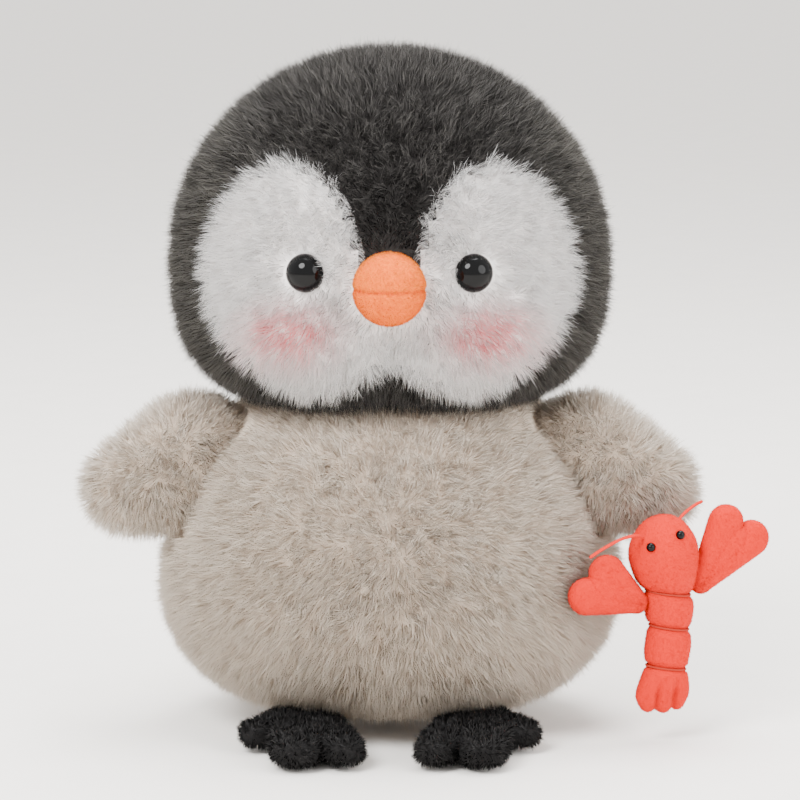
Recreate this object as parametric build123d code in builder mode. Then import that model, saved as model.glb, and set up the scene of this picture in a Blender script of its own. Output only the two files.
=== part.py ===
"""Plush penguin with a small plush lobster sewn under its left wing.

Millimetres, +Z up. The toy sits on the floor at Z = 0, with the centre of its base at the origin,
and faces -Y, so its own left side, which carries the lobster, is +X. Each cover panel is a backing
with its pressed pile, so its outside is where the pile closes into a surface, and the stuffing
fills what the panels enclose.
"""

import os
from math import cos, radians, sin, sqrt

from build123d import *

os.makedirs("parts", exist_ok=True)

# ---------------------------------------------------------------- head
head_half_width = 87.0
head_half_depth = 76.0
head_level = 188.0  # height of the head's widest level
head_rise = 83.0  # from the widest level up to the crown
head_drop = 60.0  # from the widest level down to the chin
head_squareness = 0.83  # how far the lower curve keeps out before it turns in
cover_thickness = 6.0  # backing and pressed pile
crown_half_width = 30.0
neck_half_width = 42.0
neck_half_depth = 34.0

# ---------------------------------------------------------------- face
cheek_centre_x = 39.0
cheek_centre_above_level = -0.5
cheek_half_width = 38.0
cheek_half_height = 49.5
brow_half_width = 13.0  # dark wedge between the white cheeks, above the beak
cheek_join_foot = 150.0  # the cheeks meet on the middle line from here up to the beak

eye_spacing = 66.8
eye_above_level = 0.5
eye_diameter = 15.0
eye_dome_height = 6.0
eye_seat_depth = 5.0
eye_shank_diameter = 3.8
eye_shank_length = 9.0
eye_clearance = 0.3
washer_diameter = 13.0
washer_thickness = 2.0
washer_gap = 0.3

beak_above_level = -4.5
beak_radius = 14.0
beak_length = 20.0
beak_seat_depth = 4.5
beak_cover = 1.5
beak_clearance = 0.2

# ---------------------------------------------------------------- body
body_half_width = 91.5
body_half_depth = 75.0
body_level = 56.0  # height of the body's widest level
body_top_in_head = 20.0  # how far the body's blank top stands inside the head's chin
# pear outline: height below or above the widest level, as a share of the way to the base or top,
# then width as a share of the widest
body_sections = (
    (-1.0, 0.285),
    (-0.93, 0.44),
    (-0.82, 0.585),
    (-0.64, 0.8),
    (-0.42, 0.925),
    (-0.18, 0.985),
    (0.0, 1.0),
    (0.24, 0.985),
    (0.42, 0.93),
    (0.59, 0.85),
    (0.75, 0.745),
    (0.88, 0.63),
    (1.0, 0.5),
)
base_panel_half_width = 52.0
pellet_bag_half_width = 46.0
pellet_bag_half_depth = 36.0
pellet_bag_half_height = 18.0
pellet_bag_floor_gap = 3.0

# ---------------------------------------------------------------- wings
wing_level = 107.0
wing_root_inset = 15.5  # flap axis, in from the body's widest point
wing_root_radius = 29.0
wing_tip_out = 27.5
wing_tip_drop = 10.0
wing_tip_radius = 19.5
wing_thickness = 30.0
wing_rounding = 12.0
wing_cover = 4.0
wing_behind_front = 63.0  # wing mid plane, back from the belly's furthest point
wing_lowest = 5.0  # degrees that the wing sinks from rest
wing_clearance = 0.5

# ---------------------------------------------------------------- feet
foot_height = 15.0
foot_rounding = 4.0
foot_cover = 1.5
heel_x = 34.0
heel_y = -46.0
heel_radius = 18.0
# toes: distance out from the middle, tip centre and radius
toes = ((17.0, -84.5, 8.5), (35.5, -84.5, 10.5), (51.5, -57.0, 8.0))

# ---------------------------------------------------------------- lobster
lobster_turn = 20.0  # degrees that it faces away from the penguin's middle
lobster_out = 31.0  # its middle, out from the flap axis
lobster_gap = 0.6  # between its back and the wing's front
lobster_cover = 1.0
# body sections from tail to head: height, half width, half depth, sideways shift
lobster_sections = (
    (12.0, 6.0, 3.0, 0.0),
    (14.0, 10.0, 4.8, 0.0),
    (20.0, 12.0, 6.2, 0.2),
    (30.0, 9.8, 7.2, 1.5),
    (38.0, 10.2, 8.2, 2.2),
    (46.0, 9.6, 8.2, 2.6),
    (53.0, 10.6, 9.2, 2.6),
    (60.0, 10.6, 9.6, 2.0),
    (67.0, 13.4, 11.6, 0.8),
    (75.0, 14.8, 12.8, 0.0),
    (82.0, 13.2, 11.6, 0.0),
    (88.0, 8.6, 7.6, 0.0),
    (90.5, 3.6, 3.2, 0.0),
)
claw_half_thickness = 5.5
claw_rounding = 4.0
claw_lobe_radius = 6.8
arm_radius = 6.0
claw_gap = 0.4
lobe_step = 0.2  # how much slimmer a claw's outer lobe is
# each claw: arm centre height, then the heart's two lobes as (sideways, height)
inner_claw = (57.0, (-24.0, 69.0), (-32.6, 60.5))
outer_claw = (63.0, (26.6, 86.0), (37.7, 79.0))
lobster_eye_radius = 1.8
lobster_eye_heights = (80.0, 84.0)
tie_height = 87.5
feeler_radius = 0.6
thread_radius = 0.5

# ---------------------------------------------------------------- worked out from the above
head_floor = head_level - head_drop
body_top = head_floor + body_top_in_head
depth_share = body_half_depth / body_half_width
wing_x = body_half_width - wing_root_inset
wing_y = wing_behind_front - body_half_depth
wing_front = wing_y - wing_thickness / 2
widest_lobster_depth = max(section[2] for section in lobster_sections)
lobster_x = wing_x + lobster_out
lobster_y = wing_front - lobster_gap - widest_lobster_depth
across = Vector(cos(radians(lobster_turn)), sin(radians(lobster_turn)), 0)
facing = Vector(sin(radians(lobster_turn)), -cos(radians(lobster_turn)), 0)
stitched_sections = [lobster_sections[index] for index in (3, 5, 7)]
far = 200.0  # longer than any piece, for cutting blocks


def head_front(x, z):
    """Y of the head's front at a point above its chin curve."""
    height_share = (z - head_level) / head_rise
    return -head_half_depth * sqrt(1 - (x / head_half_width) ** 2 - height_share**2)


def turned_form(profile, depth_ratio):
    """Solid of revolution about Z, drawn in flatter from front to back."""
    with BuildPart() as form:
        add(profile)
        revolve(axis=Axis.Z)
        scale(by=(1, depth_ratio, 1), mode=Mode.REPLACE)
    return form.part


def head_form(inset):
    """The head's bun shape, moved in all round by inset."""
    width = head_half_width - inset
    rise = head_rise - inset
    drop = head_drop - inset
    with BuildSketch(Plane.XZ) as profile:
        with BuildLine():
            EllipticalCenterArc((0, head_level), width, rise, start_angle=0, arc_size=90)
            Bezier(
                (width, head_level),
                (width, head_level - head_squareness * drop),
                (head_squareness * width, head_level - drop),
                (0, head_level - drop),
            )
            Line((0, head_level - drop), (0, head_level + rise))
        make_face()
    return turned_form(profile.sketch, (head_half_depth - inset) / width)


def body_form(inset):
    """The body's pear shape with its flat base, drawn in by inset at its widest level."""
    share = (body_half_width - inset) / body_half_width
    with BuildPart() as form:
        for height_share, width_share in body_sections:
            height = body_level + body_level * height_share * share
            if height_share > 0:
                height = body_level + (body_top - body_level) * height_share * share
            half_width = body_half_width * width_share * share
            with BuildSketch(Plane.XY.offset(height)):
                Ellipse(half_width, half_width * depth_share)
        loft()
        floor = body_level - body_level * share
        split(bisect_by=Plane.XY.offset(floor), keep=Keep.TOP)
    return form.part


def tapered_outline(*circles):
    """Flat outline drawn tightly round circles, each given as its centre and radius."""
    edges = [(Pos(*centre) * Circle(radius)).edge() for centre, radius in circles]
    return make_hull(edges)


def pillow(outline, plane, half_thickness, rounding):
    """Outline drawn on a plane and thickened to both sides, with rounded rims."""
    with BuildPart() as form:
        with BuildSketch(plane):
            add(outline)
        extrude(amount=half_thickness, both=True)
        rims = form.faces().filter_by(Axis(plane.origin, plane.z_dir)).edges()
        fillet(rims, radius=rounding)
    return form.part


def mirrored(solid, side):
    """The solid itself on the left side, its mirror image on the right."""
    return solid if side > 0 else solid.mirror(Plane.YZ)


def block(low, high):
    """Cutting block between two corners."""
    size = Vector(*high) - Vector(*low)
    middle = (Vector(*high) + Vector(*low)) / 2
    return Pos(*middle) * Box(*size)


def finish(piece, label):
    """Name a finished piece and write it out."""
    piece.part.label = label
    export_step(piece.part, f"parts/{label}.step")


# ================================================================ head
head_outside = head_form(0)
head_inside = head_form(cover_thickness)

with BuildPart() as neck_plug:
    with BuildSketch(Plane.XY.offset(head_floor - 10)):
        Ellipse(neck_half_width, neck_half_depth)
    extrude(amount=30)


def eye_plane(side):
    """Plane on the head's front at an eye, facing straight out of the cover."""
    x = side * eye_spacing / 2
    z = head_level + eye_above_level
    y = head_front(x, z)
    out = Vector(
        x / head_half_width**2,
        y / head_half_depth**2,
        eye_above_level / head_rise**2,
    )
    return Plane(origin=(x, y, z), x_dir=(0, 0, 1), z_dir=out)


def seat(plane, radius, top, depth):
    """Round cutter below a plane, from top down to depth."""
    with BuildPart() as cutter:
        with BuildSketch(plane.offset(-depth)):
            Circle(radius)
        extrude(amount=depth - top)
    return cutter.part


beak_level = head_level + beak_above_level
beak_root = head_front(0, beak_level) + beak_seat_depth
washer_top = cover_thickness + washer_gap
shank_end = eye_seat_depth + eye_shank_length

eye_room = eye_diameter / 2 + eye_clearance
shank_room = eye_shank_diameter / 2 + eye_clearance / 2
washer_room = washer_diameter / 2 + eye_clearance
washer_depth = washer_top + washer_thickness + eye_clearance
eye_seats = [seat(eye_plane(side), eye_room, -far / 10, eye_seat_depth) for side in (-1, 1)]
shank_holes = [seat(eye_plane(side), shank_room, 0, shank_end + eye_clearance) for side in (-1, 1)]
washer_seats = [seat(eye_plane(side), washer_room, 0, washer_depth) for side in (-1, 1)]

with BuildPart() as head_cover:
    add(head_outside)
    add(head_inside, mode=Mode.SUBTRACT)
    add(neck_plug.part, mode=Mode.SUBTRACT)
    for cutter in eye_seats + shank_holes:
        add(cutter, mode=Mode.SUBTRACT)
    beak_seat = Plane(origin=(0, beak_root, beak_level), x_dir=(1, 0, 0), z_dir=(0, -1, 0))
    with BuildSketch(beak_seat):
        Circle(beak_radius + beak_clearance)
    extrude(amount=far / 10, mode=Mode.SUBTRACT)

# white cheeks: an egg shape each side of the middle, without the dark brow wedge
with BuildPart() as cheek_cutter:
    with BuildSketch(Plane.XZ):
        with Locations((cheek_centre_x, head_level + cheek_centre_above_level)):
            Ellipse(cheek_half_width, cheek_half_height)
        wedge_foot = beak_level + beak_radius * 0.6
        with Locations((cheek_centre_x / 2, (cheek_join_foot + wedge_foot) / 2)):
            Rectangle(cheek_centre_x, wedge_foot - cheek_join_foot)
        with Locations((0, wedge_foot + far / 2)):
            Rectangle(2 * brow_half_width, far, mode=Mode.SUBTRACT)
    extrude(amount=far)

for side, label in ((1, "left_cheek_panel"), (-1, "right_cheek_panel")):
    with BuildPart() as cheek_panel:
        add(head_cover.part)
        add(mirrored(cheek_cutter.part, side), mode=Mode.INTERSECT)
    finish(cheek_panel, label)

with BuildPart() as dark_cover:
    add(head_cover.part)
    for side in (-1, 1):
        add(mirrored(cheek_cutter.part, side), mode=Mode.SUBTRACT)

chin_block = block((-crown_half_width, -far, 0), (crown_half_width, 0, head_level))
crown_block = block((-crown_half_width, -far, 0), (crown_half_width, far, 2 * far))
side_block = block((crown_half_width, -far, 0), (far, far, 2 * far))

with BuildPart() as chin_panel:
    add(dark_cover.part)
    add(chin_block, mode=Mode.INTERSECT)
finish(chin_panel, "chin_panel")

with BuildPart() as crown_panel:
    add(dark_cover.part)
    add(crown_block, mode=Mode.INTERSECT)
    add(chin_block, mode=Mode.SUBTRACT)
finish(crown_panel, "crown_panel")

for side, label in ((1, "head_left_panel"), (-1, "head_right_panel")):
    with BuildPart() as side_panel:
        add(dark_cover.part)
        add(mirrored(side_block, side), mode=Mode.INTERSECT)
    finish(side_panel, label)

with BuildPart() as head_stuffing:
    add(head_inside)
    for cutter in washer_seats + shank_holes:
        add(cutter, mode=Mode.SUBTRACT)
finish(head_stuffing, "head_stuffing")

eye_ball = ((eye_diameter / 2) ** 2 + eye_dome_height**2) / (2 * eye_dome_height)
with BuildPart() as eye_blank:
    with Locations((0, 0, eye_dome_height - eye_ball)):
        Sphere(eye_ball)
    split(bisect_by=Plane.XY, keep=Keep.TOP)
    with BuildSketch():
        Circle(eye_shank_diameter / 2)
    extrude(amount=-eye_shank_length)

for side, label in ((1, "left_eye"), (-1, "right_eye")):
    with BuildPart() as eye:
        with Locations(eye_plane(side).offset(-eye_seat_depth).location):
            add(eye_blank.part)
    finish(eye, label)

for side, label in ((1, "left_eye_washer"), (-1, "right_eye_washer")):
    with BuildPart() as washer:
        with BuildSketch(eye_plane(side).offset(-washer_top)):
            Circle(washer_diameter / 2)
            Circle(eye_shank_diameter / 2 + 0.05, mode=Mode.SUBTRACT)
        extrude(amount=-washer_thickness)
    finish(washer, label)


# ================================================================ beak
def beak_form(inset):
    """Rounded stub cone that points forward from its seat."""
    radius = beak_radius - inset
    root = beak_root - inset
    tip = beak_root - beak_length + inset
    shoulder = beak_root - beak_seat_depth
    with BuildPart() as form:
        with BuildSketch(Plane.XY.offset(beak_level)):
            with BuildLine():
                Line((0, root), (radius, root))
                Line((radius, root), (radius, shoulder))
                Bezier((radius, shoulder), (radius, shoulder - 9), (radius * 0.5, tip), (0, tip))
                Line((0, tip), (0, root))
            make_face()
        revolve(axis=Axis((0, 0, beak_level), (0, 1, 0)))
    return form.part


beak_split = Plane.XY.offset(beak_level)
beak_outside = beak_form(0)
beak_inside = beak_form(beak_cover)

for keep, label in ((Keep.TOP, "beak_upper_panel"), (Keep.BOTTOM, "beak_lower_panel")):
    with BuildPart() as beak_panel:
        add(beak_outside)
        add(beak_inside, mode=Mode.SUBTRACT)
        split(bisect_by=beak_split, keep=keep)
    finish(beak_panel, label)

with BuildPart() as beak_stuffing:
    add(beak_inside)
finish(beak_stuffing, "beak_stuffing")


# ================================================================ wings
wing_plane = Plane(origin=(0, wing_y, 0), x_dir=(1, 0, 0), z_dir=(0, -1, 0))


def wing_form(inset, drops=(0,)):
    """The left wing's blade, round at its root on the flap axis, over its turns down in degrees."""
    circles = [((wing_x, wing_level), wing_root_radius - inset)]
    for drop in drops:
        tip = Vector(wing_tip_out, -wing_tip_drop).rotate(Axis.Z, -drop)
        circles.append(((wing_x + tip.X, wing_level + tip.Y), wing_tip_radius - inset))
    outline = tapered_outline(*circles)
    return pillow(outline, wing_plane, wing_thickness / 2 - inset, wing_rounding - inset)


wing_outside = wing_form(0)
wing_inside = wing_form(wing_cover)
wing_room = wing_form(-wing_clearance, drops=(0, wing_lowest))

for side, name in ((1, "left"), (-1, "right")):
    for keep, face in ((Keep.TOP, "front"), (Keep.BOTTOM, "back")):
        with BuildPart() as wing_panel:
            add(wing_outside)
            add(wing_inside, mode=Mode.SUBTRACT)
            split(bisect_by=wing_plane, keep=keep)
            if side < 0:
                mirror(about=Plane.YZ, mode=Mode.REPLACE)
        finish(wing_panel, f"{name}_wing_{face}_panel")
    with BuildPart() as wing_stuffing:
        add(mirrored(wing_inside, side))
    finish(wing_stuffing, f"{name}_wing_stuffing")


# ================================================================ body
body_outside = body_form(0)
body_inside = body_form(cover_thickness)
bag_centre = cover_thickness + pellet_bag_floor_gap + pellet_bag_half_height

with BuildPart() as body_cover:
    add(body_outside)
    add(body_inside, mode=Mode.SUBTRACT)
    add(head_outside, mode=Mode.SUBTRACT)
    for side in (-1, 1):
        add(mirrored(wing_room, side), mode=Mode.SUBTRACT)

with BuildPart() as base_cutter:
    with BuildSketch():
        Ellipse(base_panel_half_width, base_panel_half_width * depth_share)
    extrude(amount=body_level)

with BuildPart() as base_panel:
    add(body_cover.part)
    add(base_cutter.part, mode=Mode.INTERSECT)
finish(base_panel, "base_panel")

quarters = (
    ("belly_left_panel", (0, -far), (far, wing_y)),
    ("belly_right_panel", (-far, -far), (0, wing_y)),
    ("back_left_panel", (0, wing_y), (far, far)),
    ("back_right_panel", (-far, wing_y), (0, far)),
)
for label, low, high in quarters:
    quarter = block((*low, -far), (*high, far))
    with BuildPart() as body_panel:
        add(body_cover.part)
        add(base_cutter.part, mode=Mode.SUBTRACT)
        add(quarter, mode=Mode.INTERSECT)
    finish(body_panel, label)

with BuildPart() as pellet_bag:
    with BuildSketch(Plane.XZ):
        with Locations((0, bag_centre)):
            Ellipse(pellet_bag_half_width, pellet_bag_half_height)
        split(bisect_by=Plane.YZ)
    revolve(axis=Axis.Z)
    scale(by=(1, pellet_bag_half_depth / pellet_bag_half_width, 1), mode=Mode.REPLACE)
finish(pellet_bag, "pellet_bag")

with BuildPart() as neck_filling:
    add(neck_plug.part)
    add(head_outside, mode=Mode.INTERSECT)
    add(head_inside, mode=Mode.SUBTRACT)

with BuildPart() as body_stuffing:
    add(body_inside)
    add(head_outside, mode=Mode.SUBTRACT)
    add(neck_filling.part)
    for side in (-1, 1):
        add(mirrored(wing_room, side), mode=Mode.SUBTRACT)
    add(pellet_bag.part, mode=Mode.SUBTRACT)
finish(body_stuffing, "body_stuffing")


# ================================================================ feet
def foot_form(inset):
    """Flat three-toed foot, under the front of the body."""
    heel_circle = ((heel_x, heel_y), heel_radius - inset)
    lobes = [tapered_outline(heel_circle, (toe[:2], toe[2] - inset)) for toe in toes]
    with BuildPart() as form:
        with BuildSketch(Plane.XY.offset(inset)):
            add(lobes)
        extrude(amount=foot_height - 2 * inset)
        fillet(form.edges().filter_by(Axis.Z), radius=2)
        fillet(form.faces().sort_by(Axis.Z)[-1].edges(), radius=foot_rounding - inset)
        add(body_outside, mode=Mode.SUBTRACT)
    return form.part


foot_outside = foot_form(0)
foot_inside = foot_form(foot_cover)
sole_block = block((-far, -far, 0), (far, far, foot_cover))

for side, name in ((1, "left"), (-1, "right")):
    with BuildPart() as foot_sole:
        add(mirrored(foot_outside, side))
        add(sole_block, mode=Mode.INTERSECT)
    finish(foot_sole, f"{name}_foot_sole")
    with BuildPart() as foot_upper:
        add(mirrored(foot_outside, side))
        add(mirrored(foot_inside, side), mode=Mode.SUBTRACT)
        add(sole_block, mode=Mode.SUBTRACT)
    finish(foot_upper, f"{name}_foot_upper")
    with BuildPart() as foot_stuffing:
        add(mirrored(foot_inside, side))
    finish(foot_stuffing, f"{name}_foot_stuffing")


# ================================================================ lobster
def lobster_point(sideways, forward, height):
    """Place given across and ahead of the lobster's middle, and above the floor."""
    middle = Vector(lobster_x, lobster_y, 0)
    return middle + across * sideways + facing * forward + Vector(0, 0, height)


def lobster_front(sideways, height):
    """How far the lobster's head stands out in front at a place on it."""
    half_width, half_depth = head_section(height)
    return half_depth * sqrt(max(0.0, 1 - (sideways / half_width) ** 2))


def head_section(height):
    """Half width and half depth of the lobster's head at a height, between its sections."""
    pairs = zip(lobster_sections, lobster_sections[1:])
    below, above = next(pair for pair in pairs if pair[0][0] <= height <= pair[1][0])
    part_way = (height - below[0]) / (above[0] - below[0])
    return [below[i] + (above[i] - below[i]) * part_way for i in (1, 2)]


def lobster_form(inset):
    """Head, jointed body and tail in one tapering shape."""
    with BuildPart() as form:
        for height, half_width, half_depth, shift in lobster_sections:
            at_end = (height == lobster_sections[0][0]) - (height == lobster_sections[-1][0])
            origin = lobster_point(shift, 0, height + at_end * inset)
            with BuildSketch(Plane(origin=origin, x_dir=across, z_dir=(0, 0, 1))):
                Ellipse(half_width - inset, half_depth - inset)
        loft()
    return form.part


lobster_outside = lobster_form(0)
lobster_inside = lobster_form(lobster_cover)
lobster_middle = Plane(origin=(lobster_x, lobster_y, 0), x_dir=across, z_dir=facing)

for keep, label in ((Keep.TOP, "lobster_front_panel"), (Keep.BOTTOM, "lobster_back_panel")):
    with BuildPart() as lobster_panel:
        add(lobster_outside)
        add(lobster_inside, mode=Mode.SUBTRACT)
        split(bisect_by=lobster_middle, keep=keep)
    finish(lobster_panel, label)

with BuildPart() as lobster_stuffing:
    add(lobster_inside)
finish(lobster_stuffing, "lobster_stuffing")


def body_side(height, side):
    """How far the lobster's side stands out at a height, between its measured sections."""
    pairs = zip(lobster_sections, lobster_sections[1:])
    below, above = next(pair for pair in pairs if pair[0][0] <= height <= pair[1][0])
    part_way = (height - below[0]) / (above[0] - below[0])
    half_width = below[1] + (above[1] - below[1]) * part_way
    shift = below[3] + (above[3] - below[3]) * part_way
    return shift + side * half_width


def arm_centre(claw, side):
    """Middle of the arm's round root, which just clears the lobster's side."""
    arm_height = claw[0]
    widest = max(side * body_side(arm_height + step, side) for step in (-arm_radius, 0, arm_radius))
    return (side * (widest + claw_gap + arm_radius), arm_height)


def claw_form(claw, side, inset):
    """Heart-shaped claw on a short arm."""
    root = arm_centre(claw, side)
    lobes = []
    for index, centre in enumerate(claw[1:]):
        slimmer = inset + index * lobe_step
        outline = tapered_outline((root, arm_radius - slimmer), (centre, claw_lobe_radius - slimmer))
        thickness = claw_half_thickness - slimmer
        lobes.append(pillow(outline, lobster_middle, thickness, claw_rounding - inset))
    with BuildPart() as form:
        add(lobes)
    return form.part


for claw, side, name in ((inner_claw, -1, "inner"), (outer_claw, 1, "outer")):
    claw_outside = claw_form(claw, side, 0)
    claw_inside = claw_form(claw, side, lobster_cover)
    for keep, face in ((Keep.TOP, "front"), (Keep.BOTTOM, "back")):
        with BuildPart() as claw_panel:
            add(claw_outside)
            add(claw_inside, mode=Mode.SUBTRACT)
            split(bisect_by=lobster_middle, keep=keep)
        finish(claw_panel, f"{name}_claw_{face}_panel")
    with BuildPart() as claw_stuffing:
        add(claw_inside)
    finish(claw_stuffing, f"{name}_claw_stuffing")

# bead eyes: how far across, then height
for label, sideways, height in (
    ("lobster_inner_eye", -9.0, lobster_eye_heights[0]),
    ("lobster_outer_eye", 2.5, lobster_eye_heights[1]),
):
    with BuildPart() as bead:
        with Locations(lobster_point(sideways, lobster_front(sideways, height), height)):
            Sphere(lobster_eye_radius)
        add(lobster_outside, mode=Mode.SUBTRACT)
    finish(bead, label)

# stiff feelers: root, middle and tip as (sideways, forward, height)
for label, route in (
    ("lobster_inner_feeler", ((-9.0, 3.0, 82.0), (-21.0, 8.0, 84.0), (-34.0, 6.0, 77.0))),
    ("lobster_outer_feeler", ((5.0, 0.0, 86.0), (13.0, -5.5, 91.0), (20.5, -8.5, 93.5))),
):
    root, middle, tip = (lobster_point(*point) for point in route)
    with BuildPart() as feeler:
        with BuildLine():
            path = ThreePointArc(root, middle, tip)
        with BuildSketch(Plane(origin=root, z_dir=path % 0)):
            Circle(feeler_radius)
        sweep()
        add(lobster_outside, mode=Mode.SUBTRACT)
    finish(feeler, label)

with BuildPart() as segment_threads:
    for height, half_width, half_depth, shift in stitched_sections:
        origin = lobster_point(shift, 0, height - thread_radius)
        with BuildSketch(Plane(origin=origin, x_dir=across, z_dir=(0, 0, 1))):
            Ellipse(half_width + thread_radius, half_depth + thread_radius)
        extrude(amount=2 * thread_radius)
    add(lobster_outside, mode=Mode.SUBTRACT)
finish(segment_threads, "lobster_segment_threads")

# thread that ties the lobster's head to the lower front of the wing
lobster_room = lobster_form(-0.8)
with BuildPart() as tie_thread:
    start = Vector(lobster_x, wing_y - 6, wing_level - wing_tip_drop - wing_tip_radius + 7)
    end = Vector(lobster_x, lobster_y + 5, tie_height)
    with BuildSketch(Plane(origin=start, z_dir=end - start)):
        Circle(2 * thread_radius)
    extrude(amount=(end - start).length)
    add(wing_outside, mode=Mode.SUBTRACT)
    add(lobster_room, mode=Mode.SUBTRACT)
finish(tie_thread, "lobster_tie_thread")
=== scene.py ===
"""Plush penguin with a small plush lobster: fur, velour, plastic and stitching over the packed frame.

Metres in the finished scene; the forms below are worked out in millimetres, +Z up, facing -Y.
"""

import bpy
import numpy as np
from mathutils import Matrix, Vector


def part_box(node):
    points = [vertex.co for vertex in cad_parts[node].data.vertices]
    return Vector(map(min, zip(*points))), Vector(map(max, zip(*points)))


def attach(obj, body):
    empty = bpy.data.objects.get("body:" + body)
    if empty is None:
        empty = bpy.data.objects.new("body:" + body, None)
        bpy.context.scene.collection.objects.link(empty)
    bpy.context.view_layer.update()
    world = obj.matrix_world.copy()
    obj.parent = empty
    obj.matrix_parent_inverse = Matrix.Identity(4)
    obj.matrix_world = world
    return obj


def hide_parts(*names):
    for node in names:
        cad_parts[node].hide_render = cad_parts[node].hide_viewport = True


bl_info = {
    "name": "Plush Penguin",
    "version": (1, 0, 0),
    "blender": (4, 2, 0),
    "location": "View3D > Sidebar > Penguin",
    "description": "Builds a plush penguin with a small plush lobster under its wing",
    "category": "Add Mesh",
}

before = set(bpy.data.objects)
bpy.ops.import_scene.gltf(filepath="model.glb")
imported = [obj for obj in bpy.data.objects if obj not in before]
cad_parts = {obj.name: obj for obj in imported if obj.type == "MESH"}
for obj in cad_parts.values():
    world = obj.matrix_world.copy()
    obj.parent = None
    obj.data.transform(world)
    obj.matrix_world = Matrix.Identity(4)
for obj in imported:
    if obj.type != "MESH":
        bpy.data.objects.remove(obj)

UP = np.array((0.0, 0.0, 1.0))
MM = 1000
SIDES = ((1, "left"), (-1, "right"))

# head, in millimetres like every size below
HEAD_HALF_WIDTH = 87.0
HEAD_HALF_DEPTH = 76.0
HEAD_LEVEL = 188.0
HEAD_RISE = 83.0
HEAD_DROP = 60.0
GUSSET_HALF_WIDTH = 30.0
FACE_BACK = 5.0

EYE_ACROSS = 33.4
EYE_LEVEL = 188.5
EYE_RADIUS = 7.5
BEAK_LEVEL = 183.5
BEAK_RADIUS = 14.0
BEAK_CLEARING = 13.5

# body: widest at its level, then this far up to the neck
BODY_HALF_WIDTH = 91.5
BODY_DEPTH = 75.0 / BODY_HALF_WIDTH
BODY_LEVEL = 56.0
BODY_RISE = 92.0
SIDE_SEAM = -12.0
BASE_RADIUS = 52.0
BASE_TOP = 40.0
PILE_TOP = 139.0

WING_AXIS = np.array((76.0, -12.0, 107.0))
WING_HALF_THICKNESS = 15.0
FOOT_HALF_HEIGHT = 7.6
SOLE_TOP = 2.0
LOWEST_FIBRE = 0.3

# lobster: the foot of its middle line, and its own sideways and forward directions
LOBSTER = np.array((107.0, -40.4, 0.0))
ACROSS = np.array((0.9397, 0.342, 0.0))
FACING = np.array((0.342, -0.9397, 0.0))

CAMERA_AIM = (4.0, 0.0, 130.0)
CAMERA_AWAY = 1400.0
CAMERA_TILT = np.radians(8.5)

# white cheeks as they show from the front: across and height, on the plane through the middle
LEFT_CHEEK = (
    (42, 225), (29, 221), (20, 212), (14, 202), (11, 190), (9, 183), (0, 180), (0, 140), (5, 137),
    (12, 133), (22, 129), (34, 128), (46, 132), (57, 140), (68, 152), (74, 166), (76, 181),
    (74, 193), (68, 207), (56, 220),
)
RIGHT_CHEEK = tuple((-x, z) for x, z in LEFT_CHEEK)
CHEEK_ACROSS = 41
CHEEK_LEVEL = 178
CHEEK_BACKING = 0.90


# ================================================================ forms
def smooth_rows(rows, count):
    """Rows of numbers led through by a smooth curve, at count even steps."""
    rows = np.asarray(rows, float)
    steps = np.linspace(0, len(rows) - 1, count)
    index = np.clip(steps.astype(int), 0, len(rows) - 2)
    part = (steps - index)[:, None]
    padded = np.vstack([2 * rows[0] - rows[1], rows, 2 * rows[-1] - rows[-2]])
    a, b, c, d = (padded[index + k] for k in range(4))
    return 0.5 * (2 * b + (c - a) * part + (2 * a - 5 * b + 4 * c - d) * part**2
                  + (3 * b - a - 3 * c + d) * part**3)


def even_rows(rows, count):
    """The same line of rows cut into even lengths."""
    rows = np.asarray(rows, float)
    run = np.r_[0, np.cumsum(np.linalg.norm(np.diff(rows[:, :3], axis=0), axis=1))]
    at = np.linspace(0, run[-1], count)
    return np.stack([np.interp(at, run, rows[:, k]) for k in range(rows.shape[1])], 1)


def unit(vectors):
    """Vectors brought to length one."""
    return vectors / np.maximum(np.linalg.norm(vectors, axis=-1, keepdims=True), 1e-9)


class Form:
    """Closed or open surface given by a function of two numbers from 0 to 1."""

    def __init__(self, place, middle):
        self.place = place
        self.middle = np.asarray(middle, float)

    def normals(self, s, t):
        """Outward directions at places on the surface."""
        step = 1e-3
        low, high = np.clip(t - step, 0.002, 0.998), np.clip(t + step, 0.002, 0.998)
        along = self.place(s + step, t) - self.place(s - step, t)
        up = self.place(s, high) - self.place(s, low)
        out = unit(np.cross(along, up))
        sign = np.sign(np.mean(np.sum(out * (self.place(s, t) - self.middle), axis=1)))
        return out * sign

    def scatter(self, density, rng):
        """Points spread evenly over the surface, with their outward directions."""
        size = 160
        s, t = np.meshgrid((np.arange(size) + 0.5) / size, (np.arange(size) + 0.5) / size)
        s, t = s.ravel(), t.ravel()
        half = 0.5 / size
        along = self.place(s + half, t) - self.place(s - half, t)
        up = self.place(s, np.clip(t + half, 0, 1)) - self.place(s, np.clip(t - half, 0, 1))
        area = np.linalg.norm(np.cross(along, up), axis=1)
        count = int(area.sum() * density)
        cell = rng.choice(len(area), count, p=area / area.sum())
        s = s[cell] + rng.uniform(-half, half, count)
        t = np.clip(t[cell] + rng.uniform(-half, half, count), 0.002, 0.998)
        return self.place(s, t), self.normals(s, t)

    def grid(self, wide, tall):
        """Points and four-cornered faces that cover the surface."""
        s, t = np.meshgrid(np.arange(wide) / wide, np.linspace(0, 1, tall))
        points = self.place(s.ravel(), t.ravel())
        column, row = np.meshgrid(np.arange(wide), np.arange(tall - 1))
        a = (row * wide + column).ravel()
        b = (row * wide + (column + 1) % wide).ravel()
        return points, np.stack([a, b, b + wide, a + wide], 1)


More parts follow.
